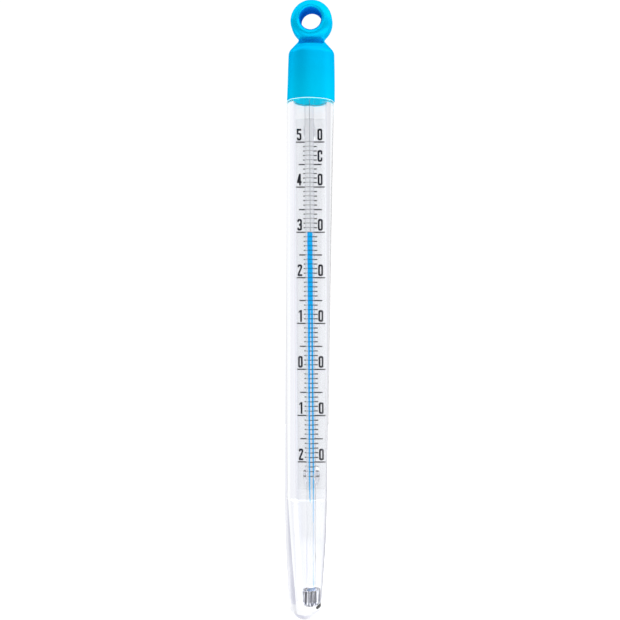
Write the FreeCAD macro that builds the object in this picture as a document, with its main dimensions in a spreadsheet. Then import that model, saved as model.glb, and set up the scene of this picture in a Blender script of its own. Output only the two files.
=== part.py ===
import FreeCAD, Part
import Sketcher
import math
import os

# Hanging glass pond thermometer: a clear moulded housing with a coloured
# eyelet cap, and inside it a lens-front capillary stem on an opal scale strip.
# Frame: origin at the centre of the eyelet bore, +Y along that bore, +Z up the
# housing, millimetres.

doc = FreeCAD.newDocument("pond_thermometer")

# ---------------------------------------------------------------- dimensions
sheet = doc.addObject("Spreadsheet::Sheet", "dims")
SIZES = [
    # eyelet ring of the cap
    ("eyelet_bore_rad", 3.62), ("eyelet_land_half", 3.40), ("eyelet_lip_rad", 1.30),
    ("eyelet_outer_rad", 7.25), ("eyelet_rim_half", 1.85), ("eyelet_crown_rad", 3.10),
    # neck and its two reliefs
    ("neck_half_width", 4.50), ("neck_half_depth", 2.50), ("neck_top_z", 4.60),
    ("relief_half_width", 4.35), ("relief_top_z", 6.05), ("relief_floor_z", 8.50),
    # shoulder and skirt, depths below the eyelet centre
    ("shoulder_top_z", 6.85), ("shoulder_top_rad", 4.45),
    ("shoulder_low_z", 10.00), ("shoulder_low_rad", 7.30),
    ("skirt_top_z", 11.35), ("skirt_top_rad", 7.80), ("shoulder_round_rad", 2.20),
    ("skirt_mid_z", 17.00), ("skirt_mid_rad", 8.05),
    ("rim_z", 28.10), ("rim_rad", 8.30),
    ("socket_rad", 6.82), ("socket_roof_z", 16.10), ("socket_roof_rad", 6.74),
    # bond between cap rim and tube shoulder
    ("bond_thick", 0.14), ("bond_inner_rad", 6.84), ("bond_outer_rad", 8.27),
    # housing tube, outside
    ("spigot_top_z", 20.10), ("spigot_rad", 6.70), ("spigot_top_rad", 6.62),
    ("tube_top_rad", 8.30),
    ("tube_a_z", 63.20), ("tube_a_rad", 7.95),
    ("tube_b_z", 96.80), ("tube_b_rad", 7.74),
    ("tube_c_z", 133.20), ("tube_c_rad", 7.63),
    ("seam_z", 166.30), ("seam_rad", 7.56), ("seam_low_z", 166.55), ("seam_low_rad", 7.49),
    ("nose_a_z", 178.00), ("nose_a_rad", 7.27),
    ("nose_b_z", 189.20), ("nose_b_rad", 6.72),
    ("nose_c_z", 200.40), ("nose_c_rad", 6.01),
    ("nose_ball_rad", 5.74), ("tip_z", 209.35),
    # bore of the housing, on its own slightly leaning core axis
    ("core_lean_deg", 0.55), ("bore_top_rad", 6.00), ("bore_seam_rad", 5.65),
    ("bore_ledge_rad", 5.52), ("bore_low_rad", 3.75), ("bore_low_z", 200.20),
    ("bore_end_rad", 3.65), ("bore_end_z", 202.00),
    # scale strip
    ("strip_top_z", 33.95), ("strip_length", 129.85), ("strip_width", 10.85),
    ("strip_thick", 0.30), ("strip_front_y", 0.95), ("strip_top_x", -0.25),
    ("strip_lean_deg", 0.684),
    # print on the strip
    ("ink_thick", 0.04), ("long_half", 5.28), ("medium_half", 4.15), ("short_half", 2.45),
    ("long_line", 0.42), ("short_line", 0.36),
    ("mark_first_z", 42.14), ("mark_pitch", 1.571), ("mark_growth", 0.000427),
    ("glyph_height", 4.10), ("glyph_width", 1.80), ("glyph_stroke", 0.66),
    ("glyph_left_x", -3.95), ("glyph_right_x", 3.60), ("glyph_rise", 2.62),
    # capillary stem and bulb, on the stem's own leaning axis
    ("stem_lean_deg", 0.720), ("stem_top_x", -0.45), ("stem_ref_z", 29.00),
    ("stem_y", -0.36), ("stem_rad", 1.62), ("stem_flat_y", 1.25),
    ("stem_top_z", 24.60), ("stem_foot_z", 197.50), ("stem_crown_fillet", 0.90),
    ("capillary_width", 0.76), ("capillary_depth", 0.11), ("capillary_y", 0.90),
    ("capillary_top_z", 28.60), ("chamber_rad", 0.34), ("chamber_length", 1.50),
    ("bulb_rad", 2.30), ("bulb_wall", 0.38), ("bulb_neck_rad", 1.36),
    ("bulb_shoulder_z", 198.70), ("bulb_ball_z", 201.60), ("bulb_clear", 0.03),
    # liquid
    ("thread_width", 0.72), ("thread_depth", 0.07), ("thread_joint_z", 79.80),
    ("thread_end_z", 73.77), ("thread_gap", 0.05),
    # ballast
    ("ballast_rad", 3.40), ("ballast_ball_z", 202.05), ("ballast_top_z", 198.40),
    ("ballast_socket_rad", 2.42), ("ballast_socket_z", 204.20), ("ballast_chamfer", 0.35),
    ("bed_inner_rad", 3.43), ("bed_outer_rad", 3.62), ("bed_half_width", 2.95),
    # adhesive drops between stem and strip
    ("drop_top_z", 38.60), ("drop_top_halfwidth", 2.20), ("drop_top_halflength", 4.55),
    ("drop_top_depth", 2.60),
    ("drop_low_z", 158.90), ("drop_low_halfwidth", 3.05), ("drop_low_halflength", 4.70),
    ("drop_low_depth", 2.70), ("drop_clear", 0.06),
]
value = {}
for row, (alias, number) in enumerate(SIZES, start=1):
    sheet.set("A%d" % row, alias)
    sheet.set("B%d" % row, repr(number))
    sheet.setAlias("B%d" % row, alias)
    value[alias] = number
doc.recompute()


class Size:
    """A number together with the sheet expression that gives it."""

    def __init__(self, number, text):
        self.number = float(number)
        self.text = text

    def __add__(self, other):
        other = as_size(other)
        return Size(self.number + other.number, "(%s + %s)" % (self.text, other.text))

    def __sub__(self, other):
        other = as_size(other)
        return Size(self.number - other.number, "(%s - %s)" % (self.text, other.text))

    def __mul__(self, other):
        other = as_size(other)
        return Size(self.number * other.number, "(%s * %s)" % (self.text, other.text))

    def __truediv__(self, other):
        other = as_size(other)
        return Size(self.number / other.number, "(%s / %s)" % (self.text, other.text))

    def __neg__(self):
        return Size(-self.number, "(0 - %s)" % self.text)


def as_size(thing):
    if isinstance(thing, Size):
        return thing
    return Size(thing, repr(float(thing)))


def D(alias):
    return Size(sheet.get(alias), "dims." + alias)


def N(alias):
    return float(sheet.get(alias))


def plane(body, role):
    for feature in body.Origin.OriginFeatures:
        if feature.Role == role:
            return feature
    raise ValueError(role)


def new_body(label):
    body = doc.addObject("PartDesign::Body", label)
    body.Label = label
    return body


def outline(body, name, role, corners, arcs=None, offset=0.0):
    """Closed sketch through the corners; arcs maps an edge number to
    (radius, counter-clockwise). Every corner is dimensioned from the origin,
    and every dimension is bound to the sheet."""
    arcs = arcs or {}
    sketch = body.newObject("Sketcher::SketchObject", name)
    sketch.AttachmentSupport = [(plane(body, role), "")]
    sketch.MapMode = "FlatFace"
    if offset:
        sketch.AttachmentOffset = FreeCAD.Placement(
            FreeCAD.Vector(0, 0, offset), FreeCAD.Rotation())
    corners = [(as_size(x), as_size(y)) for x, y in corners]
    count = len(corners)
    points = [FreeCAD.Vector(x.number, y.number, 0) for x, y in corners]
    ends = []
    for i in range(count):
        a, b = points[i], points[(i + 1) % count]
        if i in arcs:
            radius, ccw = arcs[i]
            r = radius.number
            mid = (a + b) * 0.5
            half = (b - a).Length / 2.0
            away = math.sqrt(max(r * r - half * half, 0.0))
            along = (b - a).normalize()
            side = FreeCAD.Vector(-along.y, along.x, 0)
            centre = mid + side * away if ccw else mid - side * away
            start = math.atan2(a.y - centre.y, a.x - centre.x)
            stop = math.atan2(b.y - centre.y, b.x - centre.x)
            circle = Part.Circle(centre, FreeCAD.Vector(0, 0, 1), r)
            if ccw:
                geo = sketch.addGeometry(Part.ArcOfCircle(circle, start, stop), False)
                ends.append((geo, 1, 2))
            else:
                geo = sketch.addGeometry(Part.ArcOfCircle(circle, stop, start), False)
                ends.append((geo, 2, 1))
        else:
            geo = sketch.addGeometry(Part.LineSegment(a, b), False)
            ends.append((geo, 1, 2))
    for i in range(count):
        j = (i + 1) % count
        sketch.addConstraint(Sketcher.Constraint(
            "Coincident", ends[i][0], ends[i][2], ends[j][0], ends[j][1]))
    bound = []
    for i in range(count):
        geo, pos = ends[i][0], ends[i][1]
        for kind, size, axis in (("DistanceX", corners[i][0], -2), ("DistanceY", corners[i][1], -1)):
            if abs(size.number) < 1e-9:
                sketch.addConstraint(Sketcher.Constraint("PointOnObject", geo, pos, axis))
            elif size.number > 0:
                index = sketch.addConstraint(Sketcher.Constraint(
                    kind, -1, 1, geo, pos, size.number))
                bound.append((index, size.text))
            else:
                index = sketch.addConstraint(Sketcher.Constraint(
                    kind, geo, pos, -1, 1, -size.number))
                bound.append((index, (-size).text))
    for i, (radius, ccw) in arcs.items():
        index = sketch.addConstraint(Sketcher.Constraint(
            "Radius", ends[i][0], radius.number))
        bound.append((index, radius.text))
    for index, text in bound:
        sketch.renameConstraint(index, "size_%d" % index)
        sketch.setExpression("Constraints.size_%d" % index, text)
    doc.recompute()
    return sketch


def revolve(body, name, sketch, kind="PartDesign::Revolution"):
    feature = body.newObject(kind, name)
    feature.Profile = sketch
    feature.ReferenceAxis = (sketch, ["V_Axis"])
    feature.Angle = 360.0
    doc.recompute()
    return feature


def bind(thing, **sizes):
    for prop, size in sizes.items():
        thing.setExpression(prop, as_size(size).text)


def leaning(x, y, z, angle_deg, ref_z):
    """Placement of a piece whose own +Z leans: its foot swings towards +X.
    The axis passes through (x, y) at the height ref_z."""
    turn = FreeCAD.Rotation(FreeCAD.Vector(0, 1, 0), -angle_deg)
    base = FreeCAD.Vector(x, y, ref_z)
    local = turn.multVec(FreeCAD.Vector(0, 0, z))
    return FreeCAD.Placement(base + local, turn)


# Pieces on the core axis and on the stem axis are drawn in frames whose
# origins lie on those axes at the rim's height and at the stem's reference.
core_frame = leaning(0, 0, 0, N("core_lean_deg"), -N("rim_z"))
stem_frame = leaning(N("stem_top_x"), N("stem_y"), 0, N("stem_lean_deg"), -N("stem_ref_z"))
strip_frame = leaning(N("strip_top_x"), 0, 0, N("strip_lean_deg"), -N("strip_top_z"))


def below_rim(alias):
    return D("rim_z") - D(alias)


def below_ref(alias):
    return D("stem_ref_z") - D(alias)


# ---------------------------------------------------------------- eyelet cap
cap = new_body("eyelet_cap")
cap_profile = outline(cap, "cap_profile", "XZ_Plane", [
    (0, -D("shoulder_top_z")),
    (0, -D("socket_roof_z")),
    (D("socket_roof_rad"), -D("socket_roof_z")),
    (D("socket_rad"), -D("rim_z")),
    (D("rim_rad"), -D("rim_z")),
    (D("skirt_mid_rad"), -D("skirt_mid_z")),
    (D("skirt_top_rad"), -D("skirt_top_z")),
    (D("shoulder_low_rad"), -D("shoulder_low_z")),
    (D("shoulder_top_rad"), -D("shoulder_top_z")),
], arcs={6: (D("shoulder_round_rad"), True)})
revolve(cap, "cap_turned", cap_profile)
skirt_volume = cap.Shape.Volume

# the neck block joins ring and shoulder
neck_profile = outline(cap, "neck_profile", "XY_Plane", [
    (-D("neck_half_width"), -D("neck_half_depth")),
    (D("neck_half_width"), -D("neck_half_depth")),
    (D("neck_half_width"), D("neck_half_depth")),
    (-D("neck_half_width"), D("neck_half_depth")),
], offset=-(value["shoulder_low_z"] - 0.6))
neck_pad = cap.newObject("PartDesign::Pad", "neck_pad")
neck_pad.Profile = neck_profile
bind(neck_pad, Length=D("shoulder_low_z") - D("neck_top_z") - 0.6)
doc.recompute()

# the ring, a thick rounded section turned about the eyelet axis
ring_profile = outline(cap, "ring_profile", "XY_Plane", [
    (D("eyelet_bore_rad"), -D("eyelet_land_half")),
    (D("eyelet_bore_rad") + D("eyelet_lip_rad"), -(D("eyelet_land_half") + D("eyelet_lip_rad"))),
    (D("eyelet_outer_rad"), -D("eyelet_rim_half")),
    (D("eyelet_outer_rad"), D("eyelet_rim_half")),
    (D("eyelet_bore_rad") + D("eyelet_lip_rad"), D("eyelet_land_half") + D("eyelet_lip_rad")),
    (D("eyelet_bore_rad"), D("eyelet_land_half")),
], arcs={0: (D("eyelet_lip_rad"), True), 1: (D("eyelet_crown_rad"), True),
         3: (D("eyelet_crown_rad"), True), 4: (D("eyelet_lip_rad"), True)})
revolve(cap, "ring_turned", ring_profile)

# reliefs at front and back between ring and shoulder
for side, name in ((-1, "relief_front"), (1, "relief_back")):
    relief = cap.newObject("PartDesign::SubtractiveBox", name)
    bind(relief, Length=D("relief_half_width") * 2, Width=D("eyelet_outer_rad"),
         Height=D("relief_floor_z") - D("relief_top_z"))
    y = N("neck_half_depth") if side > 0 else -N("neck_half_depth") - N("eyelet_outer_rad")
    relief.Placement = FreeCAD.Placement(
        FreeCAD.Vector(-N("relief_half_width"), y, -N("relief_floor_z")), FreeCAD.Rotation())
    doc.recompute()

# ------------------------------------------------------------ cap bond ring
bond = new_body("cap_bond_ring")
bond_profile = outline(bond, "bond_profile", "XZ_Plane", [
    (D("bond_inner_rad"), -D("rim_z")),
    (D("bond_inner_rad"), -(D("rim_z") + D("bond_thick"))),
    (D("bond_outer_rad"), -(D("rim_z") + D("bond_thick"))),
    (D("bond_outer_rad"), -D("rim_z")),
])
revolve(bond, "bond_turned", bond_profile)

# ------------------------------------------------------------- housing tube
shell = new_body("housing_outside")
shell_profile = outline(shell, "housing_profile", "XZ_Plane", [
    (0, -D("spigot_top_z")),
    (0, -D("tip_z")),
    (D("nose_ball_rad"), -(D("tip_z") - D("nose_ball_rad"))),
    (D("nose_c_rad"), -D("nose_c_z")),
    (D("nose_b_rad"), -D("nose_b_z")),
    (D("nose_a_rad"), -D("nose_a_z")),
    (D("seam_low_rad"), -D("seam_low_z")),
    (D("seam_rad"), -D("seam_z")),
    (D("tube_c_rad"), -D("tube_c_z")),
    (D("tube_b_rad"), -D("tube_b_z")),
    (D("tube_a_rad"), -D("tube_a_z")),
    (D("tube_top_rad"), -(D("rim_z") + D("bond_thick"))),
    (D("spigot_rad"), -(D("rim_z") + D("bond_thick"))),
    (D("spigot_top_rad"), -D("spigot_top_z")),
], arcs={1: (D("nose_ball_rad"), True)})
revolve(shell, "housing_turned", shell_profile)

# the core that forms the bore leans towards +X at its foot
core = new_body("housing_core")
core_profile = outline(core, "core_profile", "XZ_Plane", [
    (0, D("rim_z") - D("spigot_top_z") + 2.0),
    (0, below_rim("bore_end_z") - D("bore_end_rad")),
    (D("bore_end_rad"), below_rim("bore_end_z")),
    (D("bore_low_rad"), below_rim("bore_low_z")),
    (D("bore_ledge_rad"), below_rim("seam_low_z")),
    (D("bore_seam_rad"), below_rim("seam_z")),
    (D("bore_top_rad"), D("rim_z") - D("spigot_top_z") + 2.0),
], arcs={1: (D("bore_end_rad"), True)})
revolve(core, "core_turned", core_profile)
core.Placement = core_frame
tube = doc.addObject("Part::Cut", "housing_tube")
tube.Base = shell
tube.Tool = core
tube.Label = "housing_tube"
doc.recompute()

# -------------------------------------------------------------- scale strip
strip = doc.addObject("Part::Box", "scale_strip")
strip.Label = "scale_strip"
bind(strip, Length=D("strip_width"), Width=D("strip_thick"), Height=D("strip_length"))
strip.Placement = strip_frame.multiply(FreeCAD.Placement(
    FreeCAD.Vector(-N("strip_width") / 2, N("strip_front_y"), -N("strip_length")),
    FreeCAD.Rotation()))
doc.recompute()


def mark_depth(degrees):
    """Distance below the eyelet of a temperature mark; the degree grows
    slightly towards the cold end."""
    steps = 50.0 - degrees
    return N("mark_first_z") + N("mark_pitch") * steps + N("mark_growth") * steps * steps


def strip_height(degrees):
    return N("strip_top_z") - mark_depth(degrees)


# one thin printed bar for each degree, in the strip's own frame
ink_y = N("strip_front_y") - N("ink_thick")
bars = []
for degrees in range(50, -24, -1):
    if degrees % 10 == 0:
        half, thick = N("long_half"), N("long_line")
    elif degrees % 5 == 0:
        half, thick = N("medium_half"), N("long_line")
    else:
        half, thick = N("short_half"), N("short_line")
    bars.append(Part.makeBox(
        2 * half, N("ink_thick"), thick,
        FreeCAD.Vector(-half, ink_y, strip_height(degrees) - thick / 2)))
marks = doc.addObject("Part::Feature", "graduation_lines")
marks.Label = "graduation_lines"
marks.Shape = Part.makeCompound(bars)
marks.Placement = strip_frame


# Condensed figures, drawn as flat faces in (x, z) and thickened along Y.
GH, GW, GS = N("glyph_height"), N("glyph_width"), N("glyph_stroke")


def flat(points):
    corners = [FreeCAD.Vector(x, 0, z) for x, z in points]
    return Part.Face(Part.makePolygon(corners + corners[:1]))


def slab(x0, z0, x1, z1):
    return flat([(x0, z0), (x1, z0), (x1, z1), (x0, z1)])


def stadium(x0, z0, x1, z1, r):
    """Rectangle with round corners of radius r."""
    q = math.sqrt(0.5) * r
    V = FreeCAD.Vector
    edges = [
        Part.makeLine(V(x0 + r, 0, z0), V(x1 - r, 0, z0)) if x1 - x0 > 2 * r + 1e-6 else None,
        Part.Arc(V(x1 - r, 0, z0), V(x1 - r + q, 0, z0 + r - q), V(x1, 0, z0 + r)).toShape(),
        Part.makeLine(V(x1, 0, z0 + r), V(x1, 0, z1 - r)) if z1 - z0 > 2 * r + 1e-6 else None,
        Part.Arc(V(x1, 0, z1 - r), V(x1 - r + q, 0, z1 - r + q), V(x1 - r, 0, z1)).toShape(),
        Part.makeLine(V(x1 - r, 0, z1), V(x0 + r, 0, z1)) if x1 - x0 > 2 * r + 1e-6 else None,
        Part.Arc(V(x0 + r, 0, z1), V(x0 + r - q, 0, z1 - r + q), V(x0, 0, z1 - r)).toShape(),
        Part.makeLine(V(x0, 0, z1 - r), V(x0, 0, z0 + r)) if z1 - z0 > 2 * r + 1e-6 else None,
        Part.Arc(V(x0, 0, z0 + r), V(x0 + r - q, 0, z0 + r - q), V(x0 + r, 0, z0)).toShape(),
    ]
    return Part.Face(Part.Wire([e for e in edges if e is not None]))


def hoop(z0, z1):
    """Closed upright loop as wide as a figure, from z0 to z1."""
    w = GW / 2
    r = 0.80 * w
    ri = r - GS * 0.72
    return stadium(-w, z0, w, z1, r).cut(
        stadium(-w + GS, z0 + GS, w - GS, z1 - GS, min(ri, w - GS - 0.02)))


def figure(name):
    w, h, s = GW / 2, GH / 2, GS
    if name == "0":
        return hoop(-h, h)
    if name == "C":
        return hoop(-h, h).cut(slab(0.05, -0.55, w + 0.1, 0.55))
    if name == "1":
        stem_bar = slab(0.02, -h, 0.02 + s, h)
        flag = flat([(0.02, h), (-0.62, h - 0.62), (-0.62, h - 1.14), (0.02, h - 0.62)])
        return stem_bar.fuse(flag).removeSplitter()
    if name == "2":
        bowl = hoop(0.10, h).cut(slab(-w - 0.1, -0.1, 0.0, h - 1.05)).cut(
            slab(-w - 0.1, -0.1, w + 0.1, 0.95))
        leg = flat([(w, 0.95), (w - s, 0.95), (-w, -h + s), (-w, -h), (-w + s * 0.7, -h),
                    (-w + s * 1.15, -h + s)])
        foot = slab(-w, -h, w, -h + s)
        return bowl.fuse([leg, foot]).removeSplitter()
    if name == "3":
        upper = hoop(-s / 2, h)
        lower = hoop(-h, s / 2)
        both = upper.fuse(lower).removeSplitter()
        return both.cut(slab(-w - 0.1, -h + 1.05, -0.22, h - 1.05))
    if name == "4":
        upright = slab(w - 0.30 - s, -h, w - 0.30, h)
        bar = slab(-w, -h + 0.85, w, -h + 0.85 + s)
        slope = flat([(-w, -h + 0.85), (-w, -h + 0.85 + s), (w - 0.30 - s, h), (w - 0.30, h),
                      (w - 0.30 - 0.1, h - 0.75), (-w + s * 0.95, -h + 0.85 + s * 0.5)])
        return upright.fuse([bar, slope]).removeSplitter()
    # "5"
    top = slab(-w, h - s, w - 0.06, h)
    back = slab(-w, 0.10, -w + s, h)
    bowl = hoop(-h, 0.62).cut(slab(-w - 0.1, -h + 1.05, -0.10, 0.10))
    return top.fuse([back, bowl]).removeSplitter()


figures = {}
for name in "0C12345":
    strokes = figure(name).extrude(FreeCAD.Vector(0, N("ink_thick"), 0)).Solids
    whole = strokes[0]
    if len(strokes) > 1:
        whole = whole.multiFuse(strokes[1:]).removeSplitter()
    figures[name] = whole

prints = []


def put(name, x, height):
    piece = figures[name].copy()
    piece.translate(FreeCAD.Vector(x, ink_y, height))
    prints.extend(piece.Solids)


for degrees in (50, 40, 30, 20, 10, 0, -10, -20):
    height = strip_height(degrees) + N("glyph_rise")
    put(str(abs(degrees) // 10), N("glyph_left_x"), height)
    put("0", N("glyph_right_x"), height)
put("C", N("glyph_right_x"), strip_height(47) - 0.15)
numerals = doc.addObject("Part::Feature", "scale_numerals")
numerals.Label = "scale_numerals"
numerals.Shape = Part.makeCompound(prints)
numerals.Placement = strip_frame

# ----------------------------------------------------------- capillary stem
stem = new_body("capillary_stem")
flat_half = (N("stem_rad") ** 2 - N("stem_flat_y") ** 2) ** 0.5
stem_profile = stem.newObject("Sketcher::SketchObject", "stem_section")
stem_profile.AttachmentSupport = [(plane(stem, "XY_Plane"), "")]
stem_profile.MapMode = "FlatFace"
a0 = math.atan2(N("stem_flat_y"), -flat_half)
a1 = math.atan2(N("stem_flat_y"), flat_half) + 2 * math.pi
g_arc = stem_profile.addGeometry(Part.ArcOfCircle(
    Part.Circle(FreeCAD.Vector(0, 0, 0), FreeCAD.Vector(0, 0, 1), N("stem_rad")), a0, a1), False)
g_flat = stem_profile.addGeometry(Part.LineSegment(
    FreeCAD.Vector(flat_half, N("stem_flat_y"), 0), FreeCAD.Vector(-flat_half, N("stem_flat_y"), 0)), False)
stem_profile.addConstraint(Sketcher.Constraint("Coincident", g_arc, 3, -1, 1))
stem_profile.addConstraint(Sketcher.Constraint("Coincident", g_arc, 2, g_flat, 1))
stem_profile.addConstraint(Sketcher.Constraint("Coincident", g_arc, 1, g_flat, 2))
stem_profile.addConstraint(Sketcher.Constraint("Horizontal", g_flat))
index = stem_profile.addConstraint(Sketcher.Constraint("Radius", g_arc, N("stem_rad")))
stem_profile.renameConstraint(index, "lens_rad")
stem_profile.setExpression("Constraints.lens_rad", "dims.stem_rad")
index = stem_profile.addConstraint(Sketcher.Constraint("DistanceY", -1, 1, g_flat, 1, N("stem_flat_y")))
stem_profile.renameConstraint(index, "flat_y")
stem_profile.setExpression("Constraints.flat_y", "dims.stem_flat_y")
stem_profile.AttachmentOffset = FreeCAD.Placement(
    FreeCAD.Vector(0, 0, N("stem_ref_z") - N("stem_foot_z")), FreeCAD.Rotation())
doc.recompute()
stem_pad = stem.newObject("PartDesign::Pad", "stem_pad")
stem_pad.Profile = stem_profile
bind(stem_pad, Length=D("stem_foot_z") - D("stem_top_z"))
doc.recompute()
top_edges = []
for number, edge in enumerate(stem_pad.Shape.Edges, start=1):
    z_low, z_high = edge.BoundBox.ZMin, edge.BoundBox.ZMax
    if z_low > N("stem_ref_z") - N("stem_top_z") - 0.01 and z_high - z_low < 0.01:
        top_edges.append("Edge%d" % number)
crown = stem.newObject("PartDesign::Fillet", "stem_crown")
crown.Base = (stem_pad, top_edges)
bind(crown, Radius=D("stem_crown_fillet") * 0.4)
doc.recompute()

# ribbon bore, open at the foot, ending in a small round expansion chamber
ribbon = stem.newObject("PartDesign::SubtractiveBox", "ribbon_bore")
bind(ribbon, Length=D("capillary_width"), Width=D("capillary_depth"),
     Height=D("stem_foot_z") - D("capillary_top_z") + 1.0)
ribbon.Placement = FreeCAD.Placement(FreeCAD.Vector(
    -N("capillary_width") / 2, N("capillary_y") - N("capillary_depth") / 2,
    N("stem_ref_z") - N("stem_foot_z") - 1.0), FreeCAD.Rotation())
doc.recompute()
chamber = stem.newObject("PartDesign::SubtractiveEllipsoid", "expansion_chamber")
bind(chamber, Radius1=D("chamber_length") / 2, Radius2=D("capillary_width") / 2 + 0.06,
     Radius3=D("chamber_rad") * 0.75)
chamber.Placement = FreeCAD.Placement(FreeCAD.Vector(
    0, N("capillary_y") - 0.02, N("stem_ref_z") - N("capillary_top_z") + N("chamber_length") * 0.30),
    FreeCAD.Rotation())
doc.recompute()
stem.Placement = stem_frame

# ---------------------------------------------------------------- stem bulb
bulb = new_body("stem_bulb")
inner = D("bulb_rad") - D("bulb_wall")
bulb_profile = outline(bulb, "bulb_profile", "XZ_Plane", [
    (0, below_ref("bulb_ball_z") - inner),
    (0, below_ref("bulb_ball_z") - D("bulb_rad")),
    (D("bulb_rad"), below_ref("bulb_ball_z")),
    (D("bulb_rad"), below_ref("bulb_shoulder_z")),
    (D("stem_rad"), below_ref("stem_foot_z") - 0.01),
    (D("bulb_neck_rad"), below_ref("stem_foot_z") - 0.01),
    (D("bulb_neck_rad"), below_ref("stem_foot_z") - 0.30),
    (inner, below_ref("bulb_shoulder_z") - 0.15),
    (inner, below_ref("bulb_ball_z")),
], arcs={1: (D("bulb_rad"), True), 8: (inner, False)})
revolve(bulb, "bulb_turned", bulb_profile)
bulb.Placement = stem_frame

fill = new_body("bulb_liquid")
wet = inner - D("bulb_clear")
fill_profile = outline(fill, "fill_profile", "XZ_Plane", [
    (0, below_ref("stem_foot_z") - 0.06),
    (0, below_ref("bulb_ball_z") - wet),
    (wet, below_ref("bulb_ball_z")),
    (wet, below_ref("bulb_shoulder_z") - 0.17),
    (D("bulb_neck_rad") - D("bulb_clear"), below_ref("stem_foot_z") - 0.32),
    (D("bulb_neck_rad") - D("bulb_clear"), below_ref("stem_foot_z") - 0.06),
], arcs={1: (wet, True)})
revolve(fill, "fill_turned", fill_profile)
fill.Placement = stem_frame

# ------------------------------------------------------------ liquid thread
thread = doc.addObject("Part::Box", "liquid_thread")
thread.Label = "liquid_thread"
bind(thread, Length=D("thread_width"), Width=D("thread_depth"),
     Height=D("stem_foot_z") - D("thread_joint_z") - D("thread_gap"))
thread.Placement = stem_frame.multiply(FreeCAD.Placement(FreeCAD.Vector(
    -N("thread_width") / 2, N("capillary_y") - N("thread_depth") / 2,
    N("stem_ref_z") - N("stem_foot_z")), FreeCAD.Rotation()))

# its top end, the index that is read against the scale
top = doc.addObject("Part::Box", "thread_top")
top.Label = "thread_top"
bind(top, Length=D("thread_width"), Width=D("thread_depth"),
     Height=D("thread_joint_z") - D("thread_end_z"))
top.Placement = stem_frame.multiply(FreeCAD.Placement(FreeCAD.Vector(
    -N("thread_width") / 2, N("capillary_y") - N("thread_depth") / 2,
    N("stem_ref_z") - N("thread_joint_z")), FreeCAD.Rotation()))
doc.recompute()

# ------------------------------------------------------------- ballast slug
slug = new_body("ballast_turning")
slug_profile = outline(slug, "slug_profile", "XZ_Plane", [
    (0, below_rim("ballast_top_z")),
    (0, below_rim("ballast_ball_z") - D("ballast_rad")),
    (D("ballast_rad"), below_rim("ballast_ball_z")),
    (D("ballast_rad"), below_rim("ballast_top_z") - D("ballast_chamfer")),
    (D("ballast_rad") - D("ballast_chamfer"), below_rim("ballast_top_z")),
], arcs={1: (D("ballast_rad"), True)})
revolve(slug, "slug_turned", slug_profile)
slug.Placement = core_frame
pocket = new_body("ballast_pocket")
pocket_profile = outline(pocket, "pocket_profile", "XZ_Plane", [
    (0, below_ref("stem_foot_z")),
    (0, below_ref("ballast_socket_z")),
    (D("ballast_socket_rad") * 0.62, below_ref("ballast_socket_z")),
    (D("ballast_socket_rad"), below_ref("ballast_socket_z") + D("ballast_socket_rad")),
    (D("ballast_socket_rad"), below_ref("stem_foot_z")),
], arcs={2: (D("ballast_socket_rad") * 1.04, True)})
revolve(pocket, "pocket_turned", pocket_profile)
pocket.Placement = stem_frame
ballast = doc.addObject("Part::Cut", "ballast_slug")
ballast.Base = slug
ballast.Tool = pocket
ballast.Label = "ballast_slug"
doc.recompute()

# thin bed of adhesive that holds the ballast in the round end of the bore
bed = new_body("ballast_adhesive")


def bed_corner(rad):
    depth = (N(rad) ** 2 - N("bed_half_width") ** 2) ** 0.5
    return (D("bed_half_width"), below_rim("ballast_ball_z") + as_size(0.03) - as_size(depth))


bed_profile = outline(bed, "bed_profile", "XZ_Plane", [
    (0, below_rim("ballast_ball_z") + as_size(0.03) - D("bed_inner_rad")),
    (0, below_rim("ballast_ball_z") + as_size(0.03) - D("bed_outer_rad")),
    bed_corner("bed_outer_rad"),
    bed_corner("bed_inner_rad"),
], arcs={1: (D("bed_outer_rad"), True), 3: (D("bed_inner_rad"), False)})
revolve(bed, "bed_turned", bed_profile)
bed.Placement = core_frame


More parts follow.
